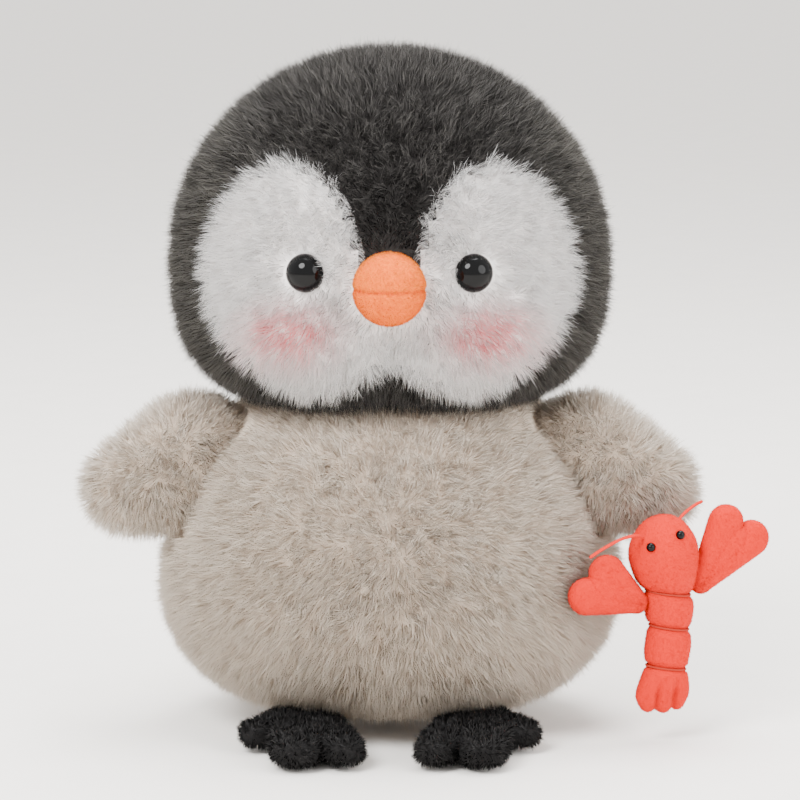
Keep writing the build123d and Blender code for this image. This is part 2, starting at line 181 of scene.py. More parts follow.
def turned(profile, depth, centre=(0.0, 0.0), bulge=None):
    """Form turned about an upright axis from (radius, height) rows, and flattened to depth."""
    rows = even_rows(profile, 240)
    steps = np.linspace(0, 1, len(rows))
    middle = (centre[0], centre[1], rows[:, 1].mean())

    def place(s, t):
        radius = np.interp(t, steps, rows[:, 0])
        height = np.interp(t, steps, rows[:, 1])
        turn = 2 * np.pi * s
        points = np.stack([centre[0] + radius * np.cos(turn),
                           centre[1] + radius * np.sin(turn) * depth, height], 1)
        return points + bulge(points) if bulge else points

    return Form(place, middle)


def pillow(circles, origin, across, along, out, thickness, fullness=0.75, inset=0.0):
    """Crowned pillow drawn round circles (across, along, radius) on a plane."""
    origin, across, along, out = (np.asarray(v, float) for v in (origin, across, along, out))
    circles = np.array([(x, y, r - inset) for x, y, r in circles])
    turn = np.linspace(0, 2 * np.pi, 721)
    ray = np.stack([np.cos(turn), np.sin(turn)], 1)
    chosen = np.argmax(ray @ circles[:, :2].T + circles[:, 2], axis=1)
    centre, radius = circles[chosen, :2], circles[chosen, 2]
    rim = centre + ray * radius[:, None]
    rows = even_rows(np.c_[rim, np.zeros(len(rim)), centre, radius], 361)
    steps = np.linspace(0, 1, len(rows))
    widest = circles[:, 2].max()

    def place(s, t):
        row = np.stack([np.interp(s % 1.0, steps, rows[:, k]) for k in range(6)], 1)
        edge, core, size = row[:, 0:2], row[:, 3:5], row[:, 5]
        lift = (t - 0.5) * np.pi
        reach = np.cos(lift) ** fullness
        rise = np.sign(lift) * np.abs(np.sin(lift)) ** fullness
        flat = core + (edge - core) * reach[:, None]
        high = rise * (thickness - inset) * (size / widest) ** 0.5
        return origin + flat[:, :1] * across + flat[:, 1:] * along + high[:, None] * out

    middle = origin + circles[:, 0].mean() * across + circles[:, 1].mean() * along
    return Form(place, middle)


def cubic(points, count):
    """Cubic curve from the first point to the last, drawn by the two between."""
    t = np.linspace(0, 1, count)[:, None]
    points = [np.array(p) for p in points]
    return sum(k * (1 - t) ** (3 - i) * t**i * p for i, (k, p) in enumerate(zip((1, 3, 3, 1), points)))


def head_profile(inset):
    """Half of the head's outline: a flattened chin that runs into a round crown."""
    width, rise, drop = HEAD_HALF_WIDTH - inset, HEAD_RISE - inset, HEAD_DROP - inset
    turn = np.linspace(0, np.pi / 2, 60)
    upper = np.stack([width * np.cos(turn), HEAD_LEVEL + rise * np.sin(turn)], 1)
    lower = cubic(((0, HEAD_LEVEL - drop), (0.83 * width, HEAD_LEVEL - drop),
                   (width, HEAD_LEVEL - 0.83 * drop), (width, HEAD_LEVEL)), 60)
    return np.vstack([lower, upper[1:]])


def head_form(inset, bulge=None):
    """The head, drawn in by inset."""
    flat = (HEAD_HALF_DEPTH - inset) / (HEAD_HALF_WIDTH - inset)
    return turned(head_profile(inset), flat, bulge=bulge)


def face_bulge(points):
    """Cheeks full, eyes and beak set a little into the pile."""
    x, y, z = points.T
    front = np.clip(-y / 40, 0, 1)
    cheek = 4.0 * np.exp(-((np.abs(x) - 42) ** 2 + (z - 162) ** 2) / (2 * 20**2))
    brow = 1.5 * np.exp(-((np.abs(x) - 34) ** 2 + (z - 216) ** 2) / (2 * 12**2))
    middle = -2.0 * np.exp(-(x**2) / (2 * 7**2)) * np.exp(-((z - 150) ** 2) / (2 * 14**2))
    out = unit(np.stack([x * 0.4, y, (z - HEAD_LEVEL) * 0.3], 1))
    return out * ((cheek + brow + middle) * front)[:, None]


# height and half width, as shares of the body's own
BODY_SECTIONS = ((-1.0, 0.285), (-0.93, 0.44), (-0.82, 0.585), (-0.64, 0.8), (-0.42, 0.925),
                 (-0.18, 0.985), (0.0, 1.0), (0.24, 0.985), (0.42, 0.93), (0.59, 0.85),
                 (0.75, 0.745), (0.88, 0.63), (1.0, 0.5))


def body_profile(inset):
    """Half of the body's pear-shaped outline."""
    rows = []
    for height, width in BODY_SECTIONS:
        reach = (BODY_LEVEL if height < 0 else BODY_RISE) - inset
        rows.append(((BODY_HALF_WIDTH - inset) * width, BODY_LEVEL + reach * height))
    rows = [(0.0, rows[0][1])] + rows
    return np.vstack([rows[:2], smooth_rows(rows[1:], 120)])


def body_half_width(z, inset=0.0):
    """How wide the body is at a height."""
    rows = body_profile(inset)
    return np.interp(z, rows[1:, 1], rows[1:, 0], left=0, right=0)


def seen(points):
    """Where points show from the front, on the plane through the middle."""
    height = points[:, 2] * np.cos(CAMERA_TILT) + points[:, 1] * np.sin(CAMERA_TILT)
    near = CAMERA_AWAY / (CAMERA_AWAY + points[:, 1])
    return points[:, 0] * near, CAMERA_AIM[2] + (height - CAMERA_AIM[2]) * near


def within(outline, x, z):
    """Which places lie inside a flat outline."""
    inside = np.zeros(len(x), bool)
    for (ax, az), (bx, bz) in zip(outline, outline[1:] + outline[:1]):
        if az == bz:
            continue
        crosses = ((az > z) != (bz > z)) & (x < (bx - ax) * (z - az) / (bz - az) + ax)
        inside ^= crosses
    return inside


# root and tip of a wing: out, up and radius
WING = ((0.0, 0.0, 29.0), (27.5, -10.0, 19.5))


def in_wing(points, side, room):
    """Which points lie in a wing, or within room of it."""
    local = points * (side, 1, 1) - WING_AXIS
    a, b = np.array(WING[0]), np.array(WING[1])
    part = np.clip((local[:, 0] * b[0] + local[:, 2] * b[1]) / (b[0] ** 2 + b[1] ** 2), 0, 1)
    apart = np.hypot(local[:, 0] - part * b[0], local[:, 2] - part * b[1])
    radius = a[2] + (b[2] - a[2]) * part
    return (apart < radius + room) & (np.abs(local[:, 1]) < WING_HALF_THICKNESS + room)


# ================================================================ meshes
def new_object(name, points, faces, sizes=None, body="torso"):
    """Mesh object in metres from points and faces; sizes gives each face's corner count."""
    mesh = bpy.data.meshes.new(name)
    if sizes is None:
        sizes = np.full(len(faces), faces.shape[1], np.int32)
    loops = np.ascontiguousarray(faces, np.int32).ravel()
    mesh.vertices.add(len(points))
    mesh.vertices.foreach_set("co", np.ascontiguousarray(points * 0.001, np.float32).ravel())
    mesh.loops.add(len(loops))
    mesh.loops.foreach_set("vertex_index", loops)
    mesh.polygons.add(len(sizes))
    starts = np.r_[0, np.cumsum(sizes)[:-1]].astype(np.int32)
    mesh.polygons.foreach_set("loop_start", starts)
    mesh.update(calc_edges=True)
    mesh.validate()
    mesh.polygons.foreach_set("use_smooth", np.ones(len(mesh.polygons), bool))
    obj = bpy.data.objects.new(name, mesh)
    bpy.context.scene.collection.objects.link(obj)
    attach(obj, body)
    return obj


def dress(obj, material, nodes=()):
    """Material, record slot and the frame nodes that a piece stands for."""
    obj.data.materials.append(material)
    if nodes:
        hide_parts(*nodes)
    return obj


def part_of(name, points, faces, mask, body="torso"):
    """Object of the faces that are kept, without the points that only the others use."""
    used, inverse = np.unique(faces[mask], return_inverse=True)
    return new_object(name, points[used], inverse.reshape(-1, 4), body=body)


def form_object(name, form, wide, tall, body="torso"):
    """Object of a whole form."""
    points, faces = form.grid(wide, tall)
    return new_object(name, points, faces, body=body)


def join_forms(forms, wide, tall):
    """Points and faces of several forms as one."""
    points, faces, offset = [], [], 0
    for form in forms:
        p, f = form.grid(wide, tall)
        points.append(p)
        faces.append(f + offset)
        offset += len(p)
    return np.vstack(points), np.vstack(faces)


def scatter_all(forms, count, rng):
    """Scattered points and outward directions of several forms."""
    scattered = [form.scatter(count, rng) for form in forms]
    return (np.vstack([pair[k] for pair in scattered]) for k in (0, 1))


# large primes that spread neighbouring cells over the kinds
CELL_PRIMES = np.array((73856093, 19349663, 83492791))
CELL_KINDS = 4096


def hash_field(points, cell, rng, warp=1.5):
    """Random direction shared by the points of each small, wavy-edged cell."""
    wavy = points + warp * np.sin(points[:, [1, 2, 0]] * (2.1 / cell) + rng.uniform(0, 6, 3))
    keys = np.floor(wavy / cell).astype(np.int64) * CELL_PRIMES
    number = (keys[:, 0] ^ keys[:, 1] ^ keys[:, 2]) % CELL_KINDS
    table = rng.normal(size=(CELL_KINDS, 3))
    tone = rng.uniform(0, 1, CELL_KINDS)
    return table[number], tone[number]


def make_pile(name, roots, out, tone, length, rng, width=0.21, lean=None, tuft=0.14,
              stray=0.19, droop=0.12, body="torso", cell=5.0):
    """Tapering blades rooted in a backing.

    The map's first axis holds each blade's tone, and its second the height along the blade.
    """
    count = len(roots)
    length = np.broadcast_to(length, count) * rng.uniform(0.8, 1.12, count)
    wisp = rng.uniform(0, 1, count) > 0.95
    length = np.where(wisp, length * 1.22, length)
    shared, _ = hash_field(roots, cell, rng)
    way = out + tuft * shared + stray * rng.normal(size=(count, 3))
    if lean is not None:
        way = way + lean
    way = unit(way)
    rise = np.sum(way * out, axis=1, keepdims=True)
    way = unit(way + out * np.clip(0.45 - rise, 0, 1))
    bend = way + 0.35 * stray * rng.normal(size=(count, 3)) - droop * UP + 0.25 * tuft * shared
    bend = unit(bend)
    side = unit(np.cross(way, rng.normal(size=(count, 3)))) * (width / 2)
    base = roots - 0.4 * out
    mid = base + way * (0.52 * length)[:, None]
    tip = mid + bend * (0.48 * length)[:, None]
    points = np.stack([base - side, base + side, mid + 0.8 * side, mid - 0.8 * side, tip], 1)
    points[:, :, 2] = np.maximum(points[:, :, 2], LOWEST_FIBRE)
    start = (np.arange(count) * 5)[:, None]
    faces = (start + np.array([0, 1, 2, 3, 3, 2, 4])).ravel()
    sizes = np.tile(np.array([4, 3], np.int32), count)
    obj = new_object(name, points.reshape(-1, 3), faces, sizes, body)
    tone = np.clip(tone, 0.01, 0.99)
    height = np.array([0.01, 0.01, 0.52, 0.52, 0.52, 0.52, 0.99])
    uv = np.stack([np.repeat(tone, 7), np.tile(height, count)], 1)
    layer = obj.data.uv_layers.new(name="OFBake")
    layer.data.foreach_set("uv", np.ascontiguousarray(uv, np.float32).ravel())
    facing = unit(np.stack([out + 0.35 * way] * 4 + [out + 0.5 * bend], 1)).reshape(-1, 3)
    obj.data.normals_split_custom_set_from_vertices(facing.astype(np.float32))
    return obj


# ================================================================ materials
def linear(colour):
    """Display colour as scene-linear values with an alpha of one."""
    rgb = [c / 12.92 if c <= 0.04045 else ((c + 0.055) / 1.055) ** 2.4 for c in colour[:3]]
    return (*rgb, 1.0)


class Value:
    """Number socket of a shader graph that can be used in expressions."""

    def __init__(self, graph, socket):
        self.graph, self.socket = graph, socket

    def join(self, operation, other, swapped=False, clamp=False):
        """Result of a Math node on this value and another."""
        node = self.graph.tree.nodes.new("ShaderNodeMath")
        node.operation, node.use_clamp = operation, clamp
        pair = (other, self) if swapped else (self, other)
        for socket, value in zip(node.inputs, pair):
            self.graph.feed(socket, value)
        return Value(self.graph, node.outputs[0])

    def __sub__(self, other):
        return self.join("SUBTRACT", other)

    def __rsub__(self, other):
        return self.join("SUBTRACT", other, swapped=True)

    def __mul__(self, other):
        return self.join("MULTIPLY", other)

    def __rmul__(self, other):
        return self.join("MULTIPLY", other, swapped=True)

    def __pow__(self, other):
        return self.join("POWER", other)

    def clamped(self):
        """The value held between 0 and 1."""
        return self.join("ADD", 0.0, clamp=True)


class Graph:
    """Node graph of one material."""

    def __init__(self, name):
        self.material = bpy.data.materials.new(name)
        self.material.use_nodes = True
        self.tree = self.material.node_tree
        self.tree.nodes.clear()
        self.end = self.tree.nodes.new("ShaderNodeOutputMaterial")

    def feed(self, socket, value):
        """Link or set one socket."""
        if isinstance(value, Value):
            self.tree.links.new(value.socket, socket)
        elif hasattr(value, "is_linked"):
            self.tree.links.new(value, socket)
        else:
            socket.default_value = value

    def node(self, kind, settings=None, **inputs):
        """Node of a kind, with its settings and then its sockets."""
        node = self.tree.nodes.new(kind)
        for key, value in (settings or {}).items():
            setattr(node, key, value)
        for key, value in inputs.items():
            self.feed(node.inputs[key.replace("_", " ")], value)
        return node

    def mix(self, amount, first, second):
        """Colour between two colours."""
        node = self.tree.nodes.new("ShaderNodeMix")
        node.data_type = "RGBA"
        self.feed(node.inputs[0], amount)
        self.feed(node.inputs[6], first)
        self.feed(node.inputs[7], second)
        return node.outputs[2]

    def finish(self, shader):
        """The material, showing a shader."""
        self.tree.links.new(shader, self.end.inputs["Surface"])
        return self.material


def pile_material(name, low, mid, high, root, soft=0.3, rough=0.85):
    """Fibres whose tone is mapped across and whose height is mapped up."""
    graph = Graph(name)
    uv = graph.node("ShaderNodeUVMap", {"uv_map": "OFBake"})
    parts = graph.node("ShaderNodeSeparateXYZ", Vector=uv.outputs[0])
    tone, height = Value(graph, parts.outputs[0]), Value(graph, parts.outputs[1])
    first = graph.mix((tone * 2.0).clamped(), linear(low), linear(mid))
    colour = graph.mix((tone * 2.0 - 1.0).clamped(), first, linear(high))
    # painted shade: each fibre runs from the darker root colour up to its tone, for the shade deep in
    # the pile
    shade = graph.mix((height ** 0.8).clamped(), linear(root), colour)
    body = graph.node("ShaderNodeBsdfPrincipled", Base_Color=shade, Roughness=rough)
    body.inputs["Specular IOR Level"].default_value = 0.25
    glow = graph.node("ShaderNodeBsdfTranslucent", Color=shade)
    both = graph.node("ShaderNodeMixShader")
    both.inputs[0].default_value = soft
    graph.tree.links.new(body.outputs[0], both.inputs[1])
    graph.tree.links.new(glow.outputs[0], both.inputs[2])
    return graph.finish(both.outputs[0])


def cloth_material(name, colour, dark=0.75, scale=900.0, bump=0.3, rough=0.9, gloss=0.2):
    """Woven or felted cloth with a fine, uneven tone."""
    graph = Graph(name)
    where = graph.node("ShaderNodeTexCoord")
    noise = graph.node("ShaderNodeTexNoise", Vector=where.outputs["Object"], Scale=scale)
    noise.inputs["Detail"].default_value = 3.0
    tone = Value(graph, noise.outputs[0])
    base = linear(colour)
    deep = tuple(c * dark for c in base[:3]) + (1.0,)
    shade = graph.mix(((tone - 0.3) * 2.0).clamped(), deep, base)
    relief = graph.node("ShaderNodeBump", Height=tone, Strength=bump, Distance=0.0006)
    body = graph.node("ShaderNodeBsdfPrincipled", Base_Color=shade, Roughness=rough,
                      Normal=relief.outputs[0])
    body.inputs["Specular IOR Level"].default_value = gloss
    return graph.finish(body.outputs[0])


def plastic_material(name, colour, rough):
    """Smooth plastic of one colour."""
    graph = Graph(name)
    body = graph.node("ShaderNodeBsdfPrincipled", Base_Color=linear(colour), Roughness=rough)
    body.inputs["Specular IOR Level"].default_value = 0.14
    return graph.finish(body.outputs[0])


# ================================================================ settings
def colour_prop(name, text, value):
    """Property that holds a display colour."""
    return bpy.props.FloatVectorProperty(name=name, description=text, subtype="COLOR", size=3,
                                         min=0.0, max=1.0, default=value)


def size_prop(name, text, value):
    """Property that holds a length in metres."""
    return bpy.props.FloatProperty(name=name, description=text, default=value, unit="LENGTH")


class PenguinSizes(bpy.types.PropertyGroup):
    """Pile lengths and how closely it grows."""

    long_pile: size_prop("Long pile", "Length of the pile on head, body and wings", 0.0092)
    face_pile: size_prop("Face pile", "Length of the pile on the white cheeks", 0.0085)
    foot_pile: size_prop("Foot pile", "Length of the pile on the feet", 0.0028)
    velour_pile: size_prop("Velour pile", "Length of the pile on beak and lobster", 0.0009)
    backing_depth: size_prop("Backing depth", "How far the backing lies under the surface", 0.006)
    density: bpy.props.FloatProperty(name="Density", description="Fibres on a square millimetre",
                                     default=3.5, min=0.1, max=4.0)


class PenguinColours(bpy.types.PropertyGroup):
    """Display colours of every material."""

    dark: colour_prop("Dark pile", "Head and back of the head", (0.33, 0.32, 0.31))
    dark_deep: colour_prop("Dark pile, deep", "Darkest fibres of the head", (0.20, 0.19, 0.185))
    dark_light: colour_prop("Dark pile, light", "Palest fibres of the head", (0.50, 0.485, 0.455))
    grey: colour_prop("Body pile", "Body and wings", (0.91, 0.865, 0.805))
    grey_deep: colour_prop("Body pile, deep", "Speckles of the body", (0.78, 0.71, 0.635))
    grey_light: colour_prop("Body pile, light", "Palest fibres of the body", (0.975, 0.95, 0.91))
    # painted shade: darker than the pile, for the shade deep in it; used for the fibre roots and the
    # backing
    shaded_grey_root: colour_prop("Body pile, roots", "Roots of the body's fibres", (0.83, 0.76, 0.69))
    white: colour_prop("Face pile", "White cheeks", (0.99, 0.985, 0.98))
    blush: colour_prop("Blush", "Pink on the cheeks", (1.0, 0.15, 0.25))
    beak: colour_prop("Beak", "Orange velour", (1.0, 0.60, 0.10))
    beak_deep: colour_prop("Beak, deep", "Shaded velour of the beak", (0.94, 0.42, 0.03))
    foot: colour_prop("Feet", "Black pile", (0.13, 0.12, 0.12))
    lobster: colour_prop("Lobster", "Orange-red velour", (1.0, 0.19, 0.01))
    lobster_deep: colour_prop("Lobster, deep", "Shaded velour of the lobster", (0.80, 0.09, 0.005))
    black: colour_prop("Eyes", "Black plastic", (0.02, 0.02, 0.022))
    floor: colour_prop("Floor", "Pale floor", (0.96, 0.945, 0.925))


def sizes():
    """The scene's pile sizes."""
    return bpy.context.scene.penguin_sizes


def colours():
    """The scene's display colours."""
    return bpy.context.scene.penguin_colours


def density():
    """Fibres on a square millimetre, fewer in a quick run."""
    return sizes().density * 1.0


# ================================================================ pieces
def shell_of(name, form, keep, nodes, material, body="torso", wide=150, tall=110):
    """Backing of one cover panel: the faces of a form whose middles are kept."""
    points, faces = form.grid(wide, tall)
    obj = part_of(name, points, faces, keep(points[faces].mean(axis=1)), body)
    return dress(obj, material, nodes)


HEAD_PANELS = ("chin_panel", "crown_panel", "head_left_panel", "head_right_panel",
               "left_cheek_panel", "right_cheek_panel")
CHIN, CROWN, LEFT, RIGHT, LEFT_WHITE, RIGHT_WHITE = range(len(HEAD_PANELS))


def head_labels(points, drawn_in=1.0):
    """Which head panel each point belongs to; drawn_in below 1 makes the cheeks smaller."""
    x, z = seen(points)
    x = np.sign(x) * (CHEEK_ACROSS + (np.abs(x) - CHEEK_ACROSS) / drawn_in)
    z = CHEEK_LEVEL + (z - CHEEK_LEVEL) / drawn_in
    sideways = points[:, 0]
    front = points[:, 1] < FACE_BACK
    label = np.where(sideways < -GUSSET_HALF_WIDTH, RIGHT, CROWN)
    label = np.where(sideways > GUSSET_HALF_WIDTH, LEFT, label)
    chin = (np.abs(sideways) <= GUSSET_HALF_WIDTH) & front & (points[:, 2] < HEAD_LEVEL)
    label = np.where(chin, CHIN, label)
    label = np.where(front & within(LEFT_CHEEK, x, z), LEFT_WHITE, label)
    return np.where(front & within(RIGHT_CHEEK, x, z), RIGHT_WHITE, label)


def eye_clearing(points):
    """Distance from the nearest eye's rim and the beak's rim, on the face."""
    far = np.where(points[:, 1] < 0, 0.0, 500.0)
    eye = np.hypot(np.abs(points[:, 0]) - EYE_ACROSS, points[:, 2] - EYE_LEVEL) - EYE_RADIUS
    beak = np.hypot(points[:, 0], points[:, 2] - BEAK_LEVEL) - BEAK_CLEARING
    return far + eye, far + beak


def cheek_tone(x, z, patch, rng):
    """White fibres of uneven tone, pink in the middle of each cheek."""
    blush = 1.0 * np.exp(-(((np.abs(x) - 38) / 15) ** 2 + ((z - 156) / 9.5) ** 2))
    blush = blush * (0.85 + 0.4 * patch)
    pink = 0.5 + 0.5 * np.clip(blush, 0, 1)
    return np.where(blush < 0.05, rng.uniform(0.1, 0.5, len(x)), pink)


def crown_tone(across, z, patch, rng):
    """Dark fibres, paler to the sides and darkest over the beak."""
    # painted sheen: the sides of the head are paler
    rim = np.clip((np.abs(across) - 45) / 60, 0, 0.3)
    tone = 0.35 + rim + 0.28 * (patch - 0.5) + 0.16 * rng.normal(size=len(across))
    return tone - 0.35 * np.exp(-(across / 12) ** 2 - ((z - 205) / 22) ** 2)


def face_lean(roots, eye, beak):
    """How the pile is combed: away from the eyes and the beak, and a little down."""
    across = roots[:, 0]
    level = np.zeros(len(roots))
    away = unit(np.stack([across - np.sign(across) * EYE_ACROSS, level, roots[:, 2] - EYE_LEVEL], 1))
    away = away * (0.5 * np.exp(-np.clip(eye, 0, 50) / 5))[:, None]
    spread = unit(np.stack([across, level, roots[:, 2] - BEAK_LEVEL], 1))
    spread = spread * (0.8 * np.exp(-np.clip(beak, 0, 60) / 7))[:, None]
    return away + spread - 0.12 * UP


def build_head():
    """Backings and pile of the six head panels, and the filling."""
    rng = np.random.default_rng(11)
    c, s = colours(), sizes()
    depth = s.backing_depth * MM
    form = head_form(depth, face_bulge)
    dark = cloth_material("dark_backing", c.dark_deep, 0.7)
    pale = cloth_material("face_backing", (0.95, 0.93, 0.92), 0.95)
    # painted shade: the last colour is the fibres' root, darker than any fibre, for the shade deep in
    # the pile
    dark_pile = pile_material("dark_pile", c.dark_deep, c.dark, c.dark_light,
                              (0.16, 0.15, 0.145), 0.25)
    # painted shade: a slightly darker root colour for the shade deep in the white pile
    face_pile = pile_material("face_pile", c.white, c.white, c.blush, (0.97, 0.955, 0.95), 0.5)
    roots, out = form.scatter(density(), rng)
    label = head_labels(roots + 4 * out)
    eye, beak = eye_clearing(roots)
    body_room = np.hypot(roots[:, 0], roots[:, 1] / BODY_DEPTH) > body_half_width(roots[:, 2]) - 3
    keep = (eye > -0.9) & (beak > -0.3) & ((roots[:, 2] > 146) | body_room)
    roots, out, label, eye, beak = (a[keep] for a in (roots, out, label, eye, beak))
    x, z = seen(roots)
    _, patch = hash_field(roots, 4.0, rng)
    tone_white = cheek_tone(x, z, patch, rng)
    tone_dark = crown_tone(roots[:, 0], z, patch, rng)
    length = np.where(label >= LEFT_WHITE, s.face_pile * MM, s.long_pile * MM)
    short = np.clip(0.50 + np.minimum(eye, 10) / 14, 0.0, 1.0)
    short = np.minimum(short, np.clip(0.42 + np.minimum(beak, 12) / 16, 0, 1))
    length = length * short
    lean = face_lean(roots, eye, beak)
    white = (face_pile, tone_white, 0.14, "white_plush", pale)
    black = (dark_pile, tone_dark, 0.18, "dark_plush", dark)
    for index, name in enumerate(HEAD_PANELS):
        mine = label == index
        look, tone, tuft, slot, backing = white if index >= LEFT_WHITE else black
        pile = make_pile(f"{name}_pile", roots[mine], out[mine], tone[mine], length[mine], rng,
                         lean=lean[mine], tuft=tuft)
        dress(pile, look, ())
        shell_of(f"{name}_backing", form,
                 lambda p, k=index: head_labels(p, CHEEK_BACKING) == k, (name,), backing)
    fibre = cloth_material("fibre", (0.93, 0.93, 0.92), 0.8, 400.0, 0.8)
    fill = form_object("head_fill", head_form(depth + 2), 96, 60)
    dress(fill, fibre, ("head_stuffing",))


def eye_frame(side):
    """Origin and directions of an eye's seat on the head."""
    x, z = side * EYE_ACROSS, EYE_LEVEL
    above = z - HEAD_LEVEL
    y = -HEAD_HALF_DEPTH * np.sqrt(1 - (x / HEAD_HALF_WIDTH) ** 2 - (above / HEAD_RISE) ** 2)
    out = unit(np.array([x / HEAD_HALF_WIDTH**2, y / HEAD_HALF_DEPTH**2, above / HEAD_RISE**2]))
    one = unit(np.cross(UP, out))
    return np.array([x, y, z]), one, np.cross(out, one), out


def spun(profile, origin, one, two, out):
    """Form turned about a slanted axis from (radius, height) rows."""
    rows = np.asarray(profile, float)
    steps = np.r_[0, np.cumsum(np.linalg.norm(np.diff(rows, axis=0), axis=1))]
    steps = steps / steps[-1]

    def place(s, t):
        radius, height = (np.interp(t, steps, rows[:, k]) for k in (0, 1))
        turn = 2 * np.pi * s
        return (origin + (radius * np.cos(turn))[:, None] * one
                + (radius * np.sin(turn))[:, None] * two + height[:, None] * out)

    return Form(place, origin + rows[:, 1].mean() * out)


# eye and washer: radius, and height over the seat
EYE_BASE = -4.4
EYE_RISE = 6.6
EYE_SHANK = ((0, -14), (1.9, -14), (1.9, -5.2), (7.0, -5.2), (7.4, -4.9))
WASHER = ((1.95, -6.4), (6.2, -6.4), (6.5, -6.8), (6.5, -8.0), (6.2, -8.3), (1.95, -8.3), (1.95, -6.4))


def build_face():
    """Both safety eyes with their washers, and the beak."""
    gloss = plastic_material("eye_plastic", colours().black, 0.05)
    matte = plastic_material("washer_plastic", (0.85, 0.85, 0.84), 0.5)
    turn = np.linspace(0, np.pi / 2, 24)[:-1]
    dome = [(EYE_RADIUS * np.cos(a), EYE_BASE + EYE_RISE * np.sin(a)) for a in turn]
    eye = (*EYE_SHANK, *dome, (0, EYE_BASE + EYE_RISE))
    for side, name in SIDES:
        seat = eye_frame(side)
        dress(form_object(f"{name}_eye_dome", spun(eye, *seat), 64, 90), gloss, (f"{name}_eye",))
        dress(form_object(f"{name}_washer", spun(WASHER, *seat), 48, 32), matte,
              (f"{name}_eye_washer",))
    build_beak()


BEAK_ROOT = -71.5
BEAK_TIP = -91.5
BEAK_CENTRE = np.array([0.0, 0.0, BEAK_LEVEL])
BEAK_DIRECTIONS = (np.array([1.0, 0, 0]), UP, np.array([0.0, 1.0, 0.0]))


def beak_rows(inset):
    """Half of the beak's outline, from its root to its blunt tip."""
    radius = BEAK_RADIUS - inset
    root, tip = BEAK_ROOT + inset, BEAK_TIP + inset
    curve = cubic(((radius, -76.0), (radius * 1.02, -85.0), (radius * 0.62, tip), (0, tip)), 40)
    return np.vstack([[(radius * 0.9, root)], [(radius, root - 1)], curve])


def build_beak():
    """Velour panels, nap and filling of the beak."""
    rng = np.random.default_rng(5)
    c, s = colours(), sizes()
    velour = cloth_material("beak_backing", c.beak_deep, 0.85, 1500.0)
    # painted light: the palest colour shows only on the upper half and towards the tip; the roots take
    # the shaded colour
    pile_look = pile_material("beak_pile", c.beak_deep, c.beak, (1.0, 0.74, 0.28), c.beak_deep, 0.3)
    smooth = spun(beak_rows(0.4), BEAK_CENTRE, *BEAK_DIRECTIONS)

    def seamed(turn, along):
        """Beak with its side seams drawn in."""
        points = smooth.place(turn, along)
        pull = 0.9 * np.exp(-((points[:, 2] - BEAK_LEVEL) / 1.1) ** 2)
        return points - unit(points - np.array([0, -74.0, BEAK_LEVEL])) * pull[:, None]

    form = Form(seamed, (0, -80, BEAK_LEVEL))
    for name, sign in (("beak_upper_panel", 1), ("beak_lower_panel", -1)):
        shell_of(f"{name}_velour", form, lambda p, k=sign: (p[:, 2] - BEAK_LEVEL) * k >= 0, (name,),
                 velour, wide=96, tall=60)
    roots, normal = form.scatter(12.0, rng)
    upper = roots[:, 2] > BEAK_LEVEL
    seam = np.exp(-(roots[:, 2] - BEAK_LEVEL) ** 2)
    # painted light and shade: the upper half is lighter than the lower, and both get lighter towards the
    # tip
    forward = np.clip((-roots[:, 1] - 78) / 12, 0, 1)
    tone = np.where(upper, 0.55 + 0.3 * forward, 0.30 + 0.15 * forward)
    tone = tone + 0.10 * rng.normal(size=len(roots)) - 0.5 * seam
    lean = np.stack([0 * tone, -0.5 + 0 * tone, np.where(upper, -0.35, 0.35)], 1)
    pile = make_pile("beak_pile", roots, normal, tone, s.velour_pile * 1400, rng, lean=lean,
                     width=0.13, tuft=0.1, stray=0.2, droop=0.0, cell=2.0)
    dress(pile, pile_look, ())
    fill = form_object("beak_fill", spun(beak_rows(1.6), BEAK_CENTRE, *BEAK_DIRECTIONS), 48, 40)
    dress(fill, bpy.data.materials["fibre"], ("beak_stuffing",))


BODY_PANELS = ("belly_left_panel", "belly_right_panel", "back_left_panel", "back_right_panel",
               "base_panel")
BASE = BODY_PANELS.index("base_panel")


def body_labels(points):
    """Which body panel each point belongs to, by its place in BODY_PANELS."""
    flat = np.hypot(points[:, 0], points[:, 1] / BODY_DEPTH)
    right = points[:, 0] <= 0
    back = points[:, 1] >= SIDE_SEAM
    return np.where((flat < BASE_RADIUS) & (points[:, 2] < BASE_TOP), BASE, 2 * back + right)


BAG_LEVEL = 27.0
BAG_HALF_WIDTH = 46.0
BAG_HALF_DEPTH = 36.0


def pellets(points):
    """Small knobs that the pellets press into their bag."""
    knob = np.sin(points[:, 0] * 1.7) * np.sin(points[:, 1] * 1.7) * np.sin(points[:, 2] * 1.7)
    return unit(points - BAG_LEVEL * UP) * (0.5 * knob - 0.6)[:, None]


